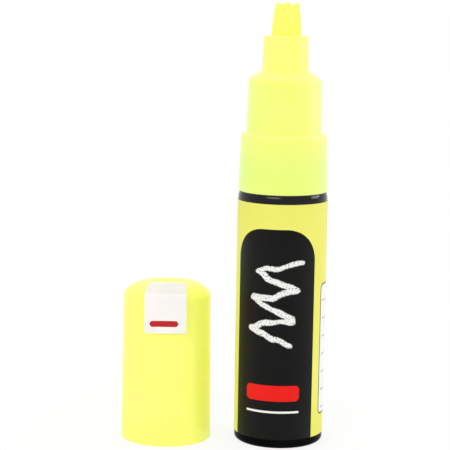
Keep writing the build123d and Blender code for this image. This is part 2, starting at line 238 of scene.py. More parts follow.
barrel_outline = [
    (0, base_recess_depth - gate_height),
    (gate_radius, base_recess_depth - gate_height, foot_edge_round),
    (gate_radius, base_recess_depth, foot_edge_round),
    (base_recess_radius, base_recess_depth, recess_round),
    (base_recess_radius, 0, foot_edge_round),
    (barrel_radius, 0, base_round),
    (barrel_radius, barrel_height - neck_rise, neck_round),
    (neck_top_radius, barrel_height, neck_edge_round),
    (barrel_bore, barrel_height, mouth_round),
    *ring_corners(barrel_bore, snap_height, snap_depth, snap_half),
    (barrel_bore, barrel_floor, base_round),
    (0, barrel_floor),
]
barrel_finish = moulded_plastic(
    "barrel_gloss", black_plastic, black_smudged, roughness=0.09, specular=0.02,
)
barrel_tree = barrel_finish.node_tree
on_barrel = put(barrel_tree, "TexCoord").outputs["Object"]
up_barrel = put(barrel_tree, "SeparateXYZ", {"Vector": on_barrel}).outputs["Z"]
polish = ramp(barrel_tree, up_barrel, low=0.1 * barrel_height, high=0.9 * barrel_height)
barrel_shader = barrel_tree.nodes["Principled BSDF"]
barrel_tree.links.new(polish, barrel_shader.inputs["Coat Weight"])
barrel_shader.inputs["Coat IOR"].default_value = 1.3
barrel_shader.inputs["Coat Roughness"].default_value = 0.06
fit_piece("barrel_tube", turned(barrel_outline), barrel_finish, "marker", "barrel_black", "barrel")


# Mixing balls: two polished steel balls, loose in the ink, that stir the pigment
# when the marker is shaken. They are ground and lapped, so only fine swirls show.

ball_bright = (0.62, 0.62, 0.63, 1)
ball_dull = (0.46, 0.46, 0.47, 1)


def bare_metal(name, bright, dull, roughness, swirl_size):
    """Bare metal with fine drawn or lapped lines in its gloss."""
    material, tree, shader = new_material(name)
    place = put(tree, "TexCoord").outputs["Object"]
    lines = put(tree, "Mapping", {"Vector": place, "Scale": (1, 1, 7)}).outputs["Vector"]
    swirl = noise_at(tree, lines, 1 / swirl_size, detail=5.0)
    colour = blend_colours(tree, swirl, dull, bright)
    gloss = ramp(tree, swirl, low=0.2, high=0.8, start=roughness + 0.08, end=roughness - 0.05)
    cover(tree, shader, colour, gloss, swirl, depth=0.004 * mm, strength=0.5)
    shader.inputs["Metallic"].default_value = 1.0
    return material


def dress(node, material):
    """Gives a CAD node its finish."""
    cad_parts[node].data.materials.clear()
    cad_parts[node].data.materials.append(material)


ball_finish = bare_metal(
    "lapped_steel", ball_bright, ball_dull, roughness=0.16, swirl_size=0.9 * mm,
)
for ball_node in ("agitator_ball_1", "agitator_ball_2"):
    dress(ball_node, ball_finish)


# Label film: a thin printed sheet wound once round the barrel and lapped at the back.
# The print is a plain design on yellow: a black panel with a scribble of chalk, a red bar
# and a white rule, a ruled white field for notes, and three swatches near the lap.

film_low, film_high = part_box("label_film")
film_height = film_high.z - film_low.z
sheet_thickness = 0.055 * mm
sheet_radius = film_high.x
lap_angle = radians(14)
lap_ramp = radians(4)
sheet_turn = 2 * pi + lap_angle
sheet_start = radians(90)
front_angle = radians(270)
label_width = sheet_turn * sheet_radius / mm
label_front = (front_angle - sheet_start) / sheet_turn * label_width
label_height = film_height / mm

wound_film = bmesh.new()
wound_film.loops.layers.uv.new("flat_label")
bmesh.ops.create_grid(wound_film, x_segments=208, y_segments=4, size=0.5, calc_uvs=True)
for vertex in wound_film.verts:
    turn = (vertex.co.x + 0.5) * sheet_turn
    lifted = min(max((turn - 2 * pi + lap_ramp) / lap_ramp, 0), 1)
    radius = sheet_radius - sheet_thickness * (1 - lifted)
    height = film_low.z + (vertex.co.y + 0.5) * film_height
    vertex.co = (radius * cos(sheet_start + turn), radius * sin(sheet_start + turn), height)
wound_film.normal_update()
bmesh.ops.solidify(wound_film, geom=wound_film.faces[:], thickness=sheet_thickness)

film_yellow = (0.84, 0.825, 0.16, 1)
film_yellow_deep = (0.81, 0.795, 0.135, 1)
print_black = (0.0030, 0.0028, 0.0028, 1)
print_black_worn = (0.0048, 0.0046, 0.0044, 1)
print_red = (0.80, 0.011, 0.007, 1)
chalk_white = (0.86, 0.86, 0.83, 1)
field_white = (0.88, 0.88, 0.85, 1)
field_grey = (0.30, 0.30, 0.31, 1)

# Places and sizes on the flat label are in millimetres, from the front's middle and the lower edge.
panel_middle = (-2.0, 22.0)
panel_half = (11.6, 33.5)
panel_corner = 8.5
scribble_middle = (-2.0, 36.4)
scribble_tilt = radians(-8)
scribble_half_width = 5.8
scribble_pitch = 7.4
scribble_half_length = 1.5 * scribble_pitch
scribble_waver = 3.2
scribble_waver_scale = 0.16
stroke_half_width = 0.72
stroke_softness = 0.14
stroke_grain = 0.6
stroke_grain_scale = 2.4
fleck_scale = 2.6
bar_middle = (-2.0, 12.4)
bar_half = (7.4, 2.1)
bar_corner = 1.2
rule_middle = (-2.0, 7.4)
rule_half = (7.4, 0.28)
field_middle = (21.6, 23.0)
field_half = (9.0, 17.6)
field_corner = 1.6
field_line = 0.36
field_margin = 1.3
field_spacing = 4.8
field_rule_half = 0.13
swatch_across = 33.6
swatch_start = 3.2
swatch_half = (0.8, 0.8)
swatch_corner = 0.1
swatch_spacing = 2.1


def length_of(tree, across, up):
    """The length of a step that goes so far across and so far up."""
    up_squared = calc(tree, "MULTIPLY", up, up)
    return calc(tree, "SQRT", calc(tree, "MULTIPLY_ADD", across, across, up_squared))


def rounded_box(tree, across, up, middle, half, corner):
    """Distance from the edge of a rounded box, negative in its border and -corner deeper inside."""
    aside = calc(tree, "ABSOLUTE", calc(tree, "SUBTRACT", across, middle[0]))
    above = calc(tree, "ABSOLUTE", calc(tree, "SUBTRACT", up, middle[1]))
    past_side = calc(tree, "MAXIMUM", calc(tree, "SUBTRACT", aside, half[0] - corner), 0.0)
    past_end = calc(tree, "MAXIMUM", calc(tree, "SUBTRACT", above, half[1] - corner), 0.0)
    return calc(tree, "SUBTRACT", length_of(tree, past_side, past_end), corner)


def ink(tree, distance, softness=0.05):
    """How much ink lies at a distance from a printed edge: all of it inside, none outside."""
    return ramp(tree, distance, low=-softness, high=softness, start=1.0, end=0.0)


def held_within(tree, value, limit):
    """A value kept between a limit and its negative."""
    return calc(tree, "MAXIMUM", calc(tree, "MINIMUM", value, limit), -limit)


def chalk_scribble(tree, place):
    """How much chalk lies on the panel: one zigzag drawn by hand, with grainy edges and flecks."""
    waver = put(tree, "TexNoise", {"Vector": place, "Scale": scribble_waver_scale, "Detail": 1.0})
    swing = put(tree, "VectorMath", {
        0: waver.outputs["Color"], 1: (0.5, 0.5, 0.5),
    }, operation="SUBTRACT")
    drawn = put(tree, "VectorMath", {
        0: swing.outputs["Vector"], 1: (scribble_waver, scribble_waver, 0), 2: place,
    }, operation="MULTIPLY_ADD").outputs["Vector"]
    own = put(tree, "Mapping", {
        "Vector": drawn, "Location": (*scribble_middle, 0), "Rotation": (0, 0, scribble_tilt),
    }, vector_type="TEXTURE").outputs["Vector"]
    split = put(tree, "SeparateXYZ", {"Vector": own})
    aside, along = split.outputs["X"], split.outputs["Y"]
    within = held_within(tree, along, scribble_half_length)
    beyond = calc(tree, "ABSOLUTE", calc(tree, "SUBTRACT", along, within))
    rise = scribble_pitch / 4
    reach = hypot(scribble_half_width, rise)
    slant = (scribble_half_width / reach, rise / reach)
    turning = calc(tree, "SUBTRACT", calc(tree, "PINGPONG", within, 2 * rise), rise)
    folded = calc(tree, "ADD", turning, beyond)
    down_stroke = calc(tree, "MULTIPLY_ADD", aside, slant[0], calc(tree, "MULTIPLY", folded, slant[1]))
    nearest = held_within(tree, down_stroke, reach)
    off_side = calc(tree, "MULTIPLY_ADD", nearest, -slant[0], aside)
    off_rise = calc(tree, "MULTIPLY_ADD", nearest, -slant[1], folded)
    rough_edge = noise_at(tree, place, stroke_grain_scale, detail=4.0)
    half = calc(tree, "MULTIPLY_ADD", rough_edge, stroke_grain, stroke_half_width - stroke_grain / 2)
    edge = calc(tree, "SUBTRACT", length_of(tree, off_side, off_rise), half)
    patches = noise_at(tree, place, fleck_scale, detail=5.0)
    flecks = ramp(tree, patches, low=0.34, high=0.46, start=0.2)
    return calc(tree, "MULTIPLY", ink(tree, edge, stroke_softness), flecks)


def printed_film():
    """Satin film with its print drawn on the flat label."""
    material, tree, shader = new_material("label_print")
    flat = put(tree, "UVMap", uv_map="flat_label").outputs["UV"]
    place = put(tree, "Mapping", {
        "Vector": flat, "Location": (-label_front, 0, 0), "Scale": (label_width, label_height, 1),
    }).outputs["Vector"]
    split = put(tree, "SeparateXYZ", {"Vector": place})
    across, up = split.outputs["X"], split.outputs["Y"]
    relief, smudge = skin_of(tree, grain=0.5 * mm, smudge_size=14 * mm)

    def printed(middle, half, corner):
        """The ink of a rounded box."""
        return ink(tree, rounded_box(tree, across, up, middle, half, corner))

    colour = blend_colours(tree, smudge, film_yellow, film_yellow_deep)
    black = blend_colours(tree, smudge, print_black, print_black_worn)
    colour = blend_colours(tree, printed(panel_middle, panel_half, panel_corner), colour, black)
    colour = blend_colours(tree, chalk_scribble(tree, place), colour, chalk_white)
    colour = blend_colours(tree, printed(bar_middle, bar_half, bar_corner), colour, print_red)
    colour = blend_colours(tree, printed(rule_middle, rule_half, rule_half[1]), colour, chalk_white)

    field_edge = rounded_box(tree, across, up, field_middle, field_half, field_corner)
    colour = blend_colours(tree, ink(tree, field_edge), colour, print_black)
    field_inside = ink(tree, calc(tree, "ADD", field_edge, field_line))
    colour = blend_colours(tree, field_inside, colour, field_white)
    off_rule = calc(tree, "SUBTRACT", calc(tree, "MODULO", up, field_spacing), field_spacing / 2)
    rule = ink(tree, calc(tree, "SUBTRACT", calc(tree, "ABSOLUTE", off_rule), field_rule_half))
    ruled_part = ink(tree, calc(tree, "ADD", field_edge, field_margin))
    colour = blend_colours(tree, calc(tree, "MULTIPLY", rule, ruled_part), colour, field_grey)
    for number, tint in enumerate((print_black, print_red, field_white)):
        swatch_middle = (swatch_across, swatch_start + number * swatch_spacing)
        colour = blend_colours(tree, printed(swatch_middle, swatch_half, swatch_corner), colour, tint)

    gloss = ramp(tree, smudge, start=0.36, end=0.46)
    cover(tree, shader, colour, gloss, relief, depth=0.003 * mm, strength=0.5)
    shader.inputs["Specular IOR Level"].default_value = 0.1
    shader.inputs["Sheen Weight"].default_value = 0.1
    return material


fit_piece("label_wrap", wound_film, printed_film(), "marker", "printed_film", "label_film")


# Joint seal: a soft ring squeezed between the front section's spigot and the barrel,
# moulded in black rubber. It keeps the ink from creeping out at the neck.

rubber_dark = (0.012, 0.012, 0.012, 1)
rubber_dusty = (0.035, 0.034, 0.033, 1)
rubber_finish = moulded_plastic(
    "soft_rubber", rubber_dark, rubber_dusty, roughness=0.72, grain=0.3 * mm, specular=0.3,
)
dress("joint_seal", rubber_finish)


# Front section: one stepped moulding of collar, step, sloping shoulder and nib holder,
# in fluorescent yellow plastic, whose finish has a painted glow that lifts its shaded sides.
# It plugs and snaps into the barrel, and four grooves in the nib's bore let air in.

front_low, front_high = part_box("front_section")
nib_low, nib_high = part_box("nib")
spigot_radius = barrel_bore - 0.05 * mm
chamber_radius = spigot_radius - 1.66 * mm
nib_chamber_radius = chamber_radius - 0.5 * mm
collar_radius = barrel_radius - 0.06 * mm
collar_top_radius = collar_radius - 0.42 * mm
collar_top = barrel_height + 15.1 * mm
step_radius = collar_top_radius - 1.45 * mm
step_top_radius = step_radius - 0.28 * mm
step_top = collar_top + 14.05 * mm
holder_top = front_high.z
nib_bore = nib_high.x + 0.06 * mm
holder_top_radius = nib_bore + 1.78 * mm
holder_radius = holder_top_radius + 0.26 * mm
shoulder_top = step_top + 2.25 * mm
ceiling_low = step_top - 0.9 * mm
ceiling_high = ceiling_low + 2.60 * mm
valve_ledge = collar_top - 1.5 * mm
ring_groove_top = barrel_height - 1.7 * mm
ring_groove_bottom = barrel_height - 3.1 * mm
ring_groove_depth = 0.7 * mm
bead_depth = 0.25 * mm
bead_half = 0.7 * mm
catch_height = valve_ledge - 3.95 * mm
catch_depth = 0.2 * mm
catch_half = 0.4 * mm
air_groove_depth = 0.5 * mm
air_groove_half_width = 0.5 * mm
bore_margin = 0.02 * mm
spigot_edge_round = 0.15 * mm
spigot_lead_round = 0.3 * mm
collar_foot_round = 0.5 * mm
collar_round = 0.9 * mm
seam_round = 0.12 * mm
step_round = 0.4 * mm
holder_round = 0.5 * mm

front_outline = [
    (chamber_radius, front_low.z, spigot_edge_round),
    (spigot_radius, front_low.z, spigot_lead_round),
    *reversed(ring_corners(spigot_radius, snap_height, bead_depth, bead_half)),
    (spigot_radius, ring_groove_bottom),
    (spigot_radius - ring_groove_depth, ring_groove_bottom),
    (spigot_radius - ring_groove_depth, ring_groove_top),
    (spigot_radius, ring_groove_top),
    (spigot_radius, barrel_height),
    (collar_radius, barrel_height, collar_foot_round),
    (collar_top_radius, collar_top, collar_round),
    (step_radius, collar_top, seam_round),
    (step_top_radius, step_top, step_round),
    (holder_radius, shoulder_top, seam_round),
    (holder_top_radius, holder_top, holder_round),
    (nib_bore, holder_top, seam_round),
    (nib_bore, ceiling_high),
    (nib_chamber_radius, ceiling_low),
    (nib_chamber_radius, valve_ledge),
    (chamber_radius, valve_ledge),
    *ring_corners(chamber_radius, catch_height, -catch_depth, catch_half),
]
front_mesh = turned(front_outline, steps=216)
for vertex in front_mesh.verts:
    in_bore = hypot(vertex.co.x, vertex.co.y) < nib_bore + bore_margin
    beside_groove = min(abs(vertex.co.x), abs(vertex.co.y))
    if in_bore and beside_groove < air_groove_half_width:
        outwards = Vector((vertex.co.x, vertex.co.y, 0)).normalized()
        vertex.co += outwards * air_groove_depth

# The step and collar colours are painted shade: greener lower down, standing in for the darker insides
# seen through the translucent wall.
holder_yellow = (0.91, 0.94, 0.17, 1)
holder_deep = (0.88, 0.91, 0.13, 1)
step_yellow = (0.835, 0.95, 0.17, 1)
step_deep = (0.81, 0.93, 0.15, 1)
collar_yellow = (0.75, 0.96, 0.17, 1)
collar_deep = (0.73, 0.94, 0.155, 1)
collar_fade = barrel_height + 7 * mm
collar_fade_end = collar_top - 1 * mm
shoulder_fade = step_top - 2 * mm


def front_plastic():
    """Satin fluorescent plastic with painted shade that turns it greener on the step and more so on the
    collar.
    """
    material, tree, shader = new_material("front_satin")
    relief, smudge = skin_of(tree, grain=0.8 * mm, smudge_size=9 * mm)
    place = put(tree, "TexCoord").outputs["Object"]
    height = put(tree, "SeparateXYZ", {"Vector": place}).outputs["Z"]
    collar = blend_colours(tree, smudge, collar_yellow, collar_deep)
    step = blend_colours(tree, smudge, step_yellow, step_deep)
    holder = blend_colours(tree, smudge, holder_yellow, holder_deep)
    up_collar = ramp(tree, height, low=collar_fade, high=collar_fade_end)
    up_shoulder = ramp(tree, height, low=shoulder_fade, high=shoulder_top)
    colour = blend_colours(tree, up_shoulder, blend_colours(tree, up_collar, collar, step), holder)
    gloss = ramp(tree, smudge, start=0.29, end=0.35)
    cover(tree, shader, colour, gloss, relief, depth=0.003 * mm, strength=0.4)
    # Painted glow: the emission in the plastic's own colour lifts the shaded sides and edges.
    tree.links.new(colour, shader.inputs["Emission Color"])
    shader.inputs["Emission Strength"].default_value = 0.08
    shader.inputs["Specular IOR Level"].default_value = 0.6
    shader.inputs["Sheen Weight"].default_value = 0.5
    return material


fit_piece("front_moulding", front_mesh, front_plastic(), "marker", "front_yellow", "front_section")


# Valve seat, cage and plunger: three small mouldings in natural white plastic. The seat and
# the cage snap in under the front section's ledge, and the nib pushes the plunger down.

valve_clean = (0.78, 0.78, 0.75, 1)
valve_inked = (0.80, 0.79, 0.45, 1)
valve_finish = moulded_plastic(
    "valve_natural", valve_clean, valve_inked, roughness=0.45, grain=0.5 * mm,
)
for valve_node in ("valve_seat", "valve_cage", "valve_plunger"):
    dress(valve_node, valve_finish)


# Plunger seal: a punched washer of soft black rubber on the plunger's head, which the
# spring presses against the seat's lip.

dress("plunger_seal", rubber_finish)


# Valve spring: stainless wire wound in five turns, with its end turns laid nearly flat.
# It stands on the cage's floor and shortens when the nib is pressed.

spring_low, spring_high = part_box("valve_spring")
wire_radius = 0.3 * mm
coil_radius = spring_high.x - wire_radius
end_turns = 0.75
end_rise = 0.75 * mm
spring_turns = 5
turn_steps = 40
wire_sides = 14
wire_bright = (0.60, 0.60, 0.61, 1)
wire_dull = (0.42, 0.42, 0.43, 1)

spring_mesh = bmesh.new()
wire_section = bmesh.ops.create_circle(spring_mesh, segments=wire_sides, radius=wire_radius)["verts"]
bmesh.ops.rotate(spring_mesh, verts=wire_section, matrix=Matrix.Rotation(pi / 2, 3, "X"))
coil_start = Vector((coil_radius, 0, spring_low.z + wire_radius))
bmesh.ops.translate(spring_mesh, verts=wire_section, vec=coil_start)
coil_rise = spring_high.z - spring_low.z - 2 * wire_radius
middle_turns = spring_turns - 2 * end_turns
middle_rise = coil_rise - 2 * end_rise
section_edges = spring_mesh.edges[:]
for turns, rise in ((end_turns, end_rise), (middle_turns, middle_rise), (end_turns, end_rise)):
    steps = round(turns * turn_steps)
    wound = bmesh.ops.spin(
        spring_mesh, geom=wire_section + section_edges, cent=(0, 0, 0), axis=(0, 0, 1),
        dvec=(0, 0, rise / steps), angle=2 * pi * turns, steps=steps,
    )
    wire_section = [item for item in wound["geom_last"] if isinstance(item, bmesh.types.BMVert)]
    section_edges = [item for item in wound["geom_last"] if isinstance(item, bmesh.types.BMEdge)]
bmesh.ops.holes_fill(spring_mesh, edges=spring_mesh.edges[:], sides=wire_sides)
bmesh.ops.recalc_face_normals(spring_mesh, faces=spring_mesh.faces[:])
spring_finish = bare_metal(
    "drawn_wire", wire_bright, wire_dull, roughness=0.28, swirl_size=0.25 * mm,
)
spring_coil = fit_piece(
    "spring_coil", spring_mesh, spring_finish, "marker", "spring_steel", "valve_spring",
)
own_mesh(spring_coil)


# Nib: a rod of pressed polyester fibre, soaked with ink, with two flats ground on it that
# meet the writing edge. Its fibres run lengthwise, and the edge is a little ragged.

nib_radius = nib_high.x
nib_bottom = nib_low.z
nib_top = nib_high.z
nib_chamfer = 0.4 * mm
nib_turn = radians(37)
chisel_length = 13.4 * mm
tip_half = 0.75 * mm
tip_offset = 0.25 * mm
chisel_slope = (nib_radius - tip_half) / chisel_length
felt_rows = 70
felt_rings = 14
felt_smoothings = 2
fibre_depth = 0.05 * mm
fibre_width = 0.35 * mm
lengthwise_scale = 0.07
ragged_depth = 0.22 * mm
ragged_reach = 1.8 * mm
ragged_width = 0.7 * mm
ragged_breadth = 1.6 * mm
ragged_level = 3.7
felt_start = nib_top - chisel_length
edge_nicks = (
    (-2.9 * mm, 0.9 * mm, 0.22 * mm),
    (-1.3 * mm, 1.1 * mm, 0.50 * mm),
    (1.5 * mm, 0.9 * mm, 0.65 * mm),
)

nib_outline = [
    (0, nib_bottom),
    (nib_radius - nib_chamfer, nib_bottom),
    (nib_radius, nib_bottom + nib_chamfer),
]
for row in range(felt_rows + 1):
    nib_outline.append((nib_radius, felt_start + chisel_length * row / felt_rows))
for ring in range(1, felt_rings + 1):
    nib_outline.append((nib_radius * (1 - ring / felt_rings), nib_top))
nib_mesh = turned(nib_outline, steps=144)
across_flats = Vector((cos(nib_turn), sin(nib_turn), 0))
for vertex in nib_mesh.verts:
    ring_share = hypot(vertex.co.x, vertex.co.y) / nib_radius
    half = ring_share * (tip_half + chisel_slope * (nib_top - vertex.co.z))
    middle = ring_share * tip_offset * (vertex.co.z - nib_bottom) / (nib_top - nib_bottom)
    depth = vertex.co.dot(across_flats) - middle
    vertex.co -= across_flats * (depth - min(max(depth, -half), half))
upper_felt = [vertex for vertex in nib_mesh.verts if vertex.co.z > felt_start]
for smoothing in range(felt_smoothings):
    bmesh.ops.smooth_vert(
        nib_mesh, verts=upper_felt, factor=0.5, use_axis_x=True, use_axis_y=True, use_axis_z=True,
    )
for vertex in upper_felt:
    fibre_at = Vector((vertex.co.x, vertex.co.y, vertex.co.z * lengthwise_scale))
    fibre = noise.noise(fibre_at / fibre_width)
    towards_axis = Vector((-vertex.co.x, -vertex.co.y, 0))
    if towards_axis.length > fibre_width:
        vertex.co += towards_axis.normalized() * fibre_depth * (fibre + 1) / 2
    ragged_at = Vector((vertex.co.x / ragged_width, vertex.co.y / ragged_breadth, ragged_level))
    ragged = noise.noise(ragged_at)
    worn = ragged_depth * (ragged + 1) / 2
    for aside, breadth, nick_depth in edge_nicks:
        off_nick = min(abs(vertex.co.x - aside) / breadth, 1)
        worn += nick_depth * (1 - off_nick**2) ** 2
    vertex.co.z -= worn * max(0, 1 - (nib_top - vertex.co.z) / ragged_reach)

felt_yellow = (0.98, 0.965, 0.20, 1)
felt_deep = (0.94, 0.90, 0.09, 1)
felt_crack = (0.50, 0.46, 0.02, 1)
strand_size = 0.22 * mm
pore_size = 0.16 * mm
crack_size = 0.6 * mm


def pressed_fibre():
    """Ink-soaked fibre: lengthwise strands in colour and relief, with a few dark flecks."""
    material, tree, shader = new_material("inked_felt")
    place = put(tree, "TexCoord").outputs["Object"]
    lengthwise = put(tree, "Mapping", {"Vector": place, "Scale": (1, 1, 0.05)}).outputs["Vector"]
    strands = noise_at(tree, lengthwise, 1 / strand_size, detail=4.0)
    pores = noise_at(tree, place, 1 / pore_size, detail=3.0)
    cracks = noise_at(tree, lengthwise, 1 / crack_size, detail=3.0)
    colour = blend_colours(tree, ramp(tree, strands, low=0.3, high=0.6), felt_deep, felt_yellow)
    colour = blend_colours(tree, ramp(tree, cracks, low=0.68, high=0.78), colour, felt_crack)
    gloss = ramp(tree, pores, low=0.3, high=0.7, start=0.62, end=0.85)
    relief = calc(tree, "MULTIPLY_ADD", pores, 0.5, strands)
    cover(tree, shader, colour, gloss, relief, depth=0.02 * mm, strength=0.4)
    # Painted glow: a faint emission in the felt's own colour lifts its shaded sides.
    tree.links.new(colour, shader.inputs["Emission Color"])
    shader.inputs["Emission Strength"].default_value = 0.05
    shader.inputs["Specular IOR Level"].default_value = 0.3
    return material


fit_piece("nib_felt", nib_mesh, pressed_fibre(), "nib_unit", "nib_fibre", "nib")


# Cap: a tapered cup in satin fluorescent yellow plastic, standing on its rim. Ribs inside
# its mouth grip the step, and a pocket in its roof takes the clip's tongue.

cap_low, cap_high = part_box("cap_shell")
cap_x = (cap_low.x + cap_high.x) / 2
cap_radius = (cap_high.x - cap_low.x) / 2
cap_height = cap_high.z
cap_turn = radians(1.5)
cap_place = Matrix.Translation((cap_x, 0, 0)) @ Matrix.Rotation(cap_turn, 4, "Z")
cap_wall = 1.81 * mm
cap_bore = cap_radius - cap_wall
cap_draft = 0.44 * mm
cap_bore_draft = 0.35 * mm
inner_low, inner_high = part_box("inner_cap")
socket_radius = (inner_high.x - inner_low.x) / 2 + 0.03 * mm
socket_outer = socket_radius + 1.0 * mm
socket_bottom = inner_high.z - 7.0 * mm
cap_ceiling = inner_high.z
rib_count = 6
rib_bottom = 2.0 * mm
rib_top = 11.0 * mm
rib_half_width = 0.6 * mm
rib_inner = step_radius + 0.05 * mm
rib_search = 0.1 * mm
cap_lead = 0.4 * mm
cap_edge_round = 0.2 * mm
cap_ceiling_round = 0.5 * mm


def bore_at(height):
    """The cap's inner radius at a height."""
    return cap_bore - cap_bore_draft * height / cap_ceiling


cap_edge = cap_height - 2.9 * mm
cap_edge_radius = cap_radius - cap_draft * cap_edge / cap_height
cap_edge_width = 4.8 * mm
dome_radius = (cap_edge_width**2 + (cap_height - cap_edge)**2) / (2 * (cap_height - cap_edge))
dome_angle = asin(cap_edge_width / dome_radius)
dome_steps = 16
dome_points = [
    (
        cap_edge_radius - cap_edge_width + dome_radius * sin(dome_angle * step / dome_steps),
        cap_height - dome_radius * (1 - cos(dome_angle * step / dome_steps)),
    )
    for step in range(dome_steps)
]
cap_outline = [
    (0, cap_height),
    *dome_points,
    (cap_edge_radius, cap_edge, cap_edge_round),
    (cap_radius, 0, cap_edge_round),
    (cap_bore + cap_lead, 0),
    (bore_at(cap_lead), cap_lead),
    (bore_at(rib_bottom), rib_bottom),
    (bore_at(rib_top), rib_top),
    (bore_at(cap_ceiling), cap_ceiling, cap_ceiling_round),
    (socket_outer, cap_ceiling),
    (socket_outer, socket_bottom, cap_edge_round),
    (socket_radius, socket_bottom, cap_edge_round),
    (socket_radius, cap_ceiling),
    (0, cap_ceiling),
]
cap_mesh = turned(cap_outline, steps=216)
rib_faces = []
for face in cap_mesh.faces:
    middle = face.calc_center_median()
    angle = atan2(middle.y, middle.x)
    to_rib = (angle + pi / rib_count) % (2 * pi / rib_count) - pi / rib_count
    on_bore = abs(hypot(middle.x, middle.y) - bore_at(middle.z)) < rib_search
    if on_bore and rib_bottom < middle.z < rib_top and abs(to_rib) * cap_bore < rib_half_width:
        rib_faces.append(face)
raised = bmesh.ops.extrude_face_region(cap_mesh, geom=rib_faces)["geom"]
for vertex in raised:
    if isinstance(vertex, bmesh.types.BMVert):
        vertex.co.xy = vertex.co.xy.normalized() * rib_inner
bmesh.ops.delete(cap_mesh, geom=rib_faces, context="FACES")

clip_low, clip_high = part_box("cap_clip")
clip_bottom = clip_low.z
tongue_top = clip_high.z
clip_thickness = 1.4 * mm
clip_back = cap_radius - cap_draft * clip_bottom / cap_height + 0.6 * mm
clip_front = clip_back + clip_thickness
clip_width = 10.9 * mm
tongue_end = clip_front - 13.4 * mm
tongue_end_width = clip_width - 1.0 * mm
tongue_corner = 1.5 * mm
tongue_bottom = tongue_top - clip_thickness
pocket_clearance = 0.05 * mm
hole_overrun = 0.3 * mm
peg_radius = 1.2 * mm
peg_aside = 2.8 * mm
peg_reach = tongue_end + 4.5 * mm


def peg_pair(radius, bottom, top):
    """Two upright pegs side by side, from one height to another."""
    mesh = bmesh.new()
    for aside in (-peg_aside, peg_aside):
        bmesh.ops.create_cone(
            mesh, cap_ends=True, segments=48, radius1=radius, radius2=radius, depth=top - bottom,
            matrix=Matrix.Translation((aside, -peg_reach, (bottom + top) / 2)),
        )
    return mesh


def draw_out(mesh, reach):
    """Draws a flat outline's face out along a vector into a closed block."""
    raised = bmesh.ops.extrude_face_region(mesh, geom=mesh.faces[:])["geom"]
    moved = [item for item in raised if isinstance(item, bmesh.types.BMVert)]
    bmesh.ops.translate(mesh, verts=moved, vec=reach)
    bmesh.ops.recalc_face_normals(mesh, faces=mesh.faces[:])


def clip_prism(grown, bottom, top):
    """An upright block in the clip's plan, grown all round."""
    mesh = bmesh.new()
    near, far = clip_width / 2 + grown, tongue_end_width / 2 + grown
    front, back = -clip_front - grown, -tongue_end + grown
    plan = ((-near, front), (near, front), (far, back), (-far, back))
    corners = [mesh.verts.new((x, y, bottom)) for x, y in plan]
    mesh.faces.new(corners)
    round_off(mesh, corners[2:], tongue_corner, segments=8)
    draw_out(mesh, (0, 0, top - bottom))
    return mesh


def combined(mesh, other, operation):
    """The mesh with another closed mesh cut from it, added to it or kept in common."""
    made = []
    for name, shape in (("base_shape", mesh), ("tool_shape", other)):
        data = bpy.data.meshes.new(name)
        shape.to_mesh(data)
        shape.free()
        made.append(bpy.data.objects.new(name, data))
        bpy.context.scene.collection.objects.link(made[-1])
    join = made[0].modifiers.new("join", "BOOLEAN")
    join.operation = operation
    join.solver = "EXACT"
    join.object = made[1]
    result = bmesh.new()
    result.from_object(made[0], bpy.context.evaluated_depsgraph_get())
    for spent in made:
        bpy.data.meshes.remove(spent.data)
    return result


tongue_pocket = clip_prism(pocket_clearance, tongue_bottom, cap_height + mm)
cap_mesh = combined(cap_mesh, tongue_pocket, "DIFFERENCE")
peg_holes = peg_pair(
    peg_radius + pocket_clearance, cap_ceiling - hole_overrun, tongue_bottom + hole_overrun,
)
cap_mesh = combined(cap_mesh, peg_holes, "DIFFERENCE")
bmesh.ops.transform(cap_mesh, matrix=cap_place, verts=cap_mesh.verts[:])

cap_yellow = (0.90, 0.91, 0.18, 1)
cap_deep = (0.88, 0.895, 0.165, 1)
cap_painted_glow = (0.86, 1.0, 0.02, 1)
cap_finish = moulded_plastic(
    "cap_satin", cap_yellow, cap_deep, roughness=0.4, grain=0.9 * mm, specular=0.7,
)
cap_shader = cap_finish.node_tree.nodes["Principled BSDF"]
# Painted glow: the emission lifts the cap's shaded side and keeps it bright yellow.
cap_shader.inputs["Emission Color"].default_value = cap_painted_glow
cap_shader.inputs["Emission Strength"].default_value = 0.18
fit_piece("cap_cup", cap_mesh, cap_finish, "cap", "cap_yellow", "cap_shell")


# Inner cap: a milky soft cup pressed into the socket under the cap's roof. Its lip closes
# round the nib holder, so that the nib doesn't dry.

liner_clean = (0.76, 0.77, 0.72, 1)
liner_inked = (0.80, 0.80, 0.42, 1)
liner_finish = moulded_plastic(
    "liner_milky", liner_clean, liner_inked, roughness=0.5, grain=0.6 * mm,
)
dress("inner_cap", liner_finish)


# Clip: a white moulded plate down the cap's front that bends over its top into a tongue,
# which two pegs hold in the roof. A plain red bar is printed low on the plate.

tongue_front = tongue_top - 0.6 * mm
bend_round = 0.5 * mm
inner_bend_round = 1.0 * mm
plate_corner = 0.35 * mm
clip_edge_round = 0.18 * mm
foot_margin = 0.01 * mm
edge_angle = radians(40)

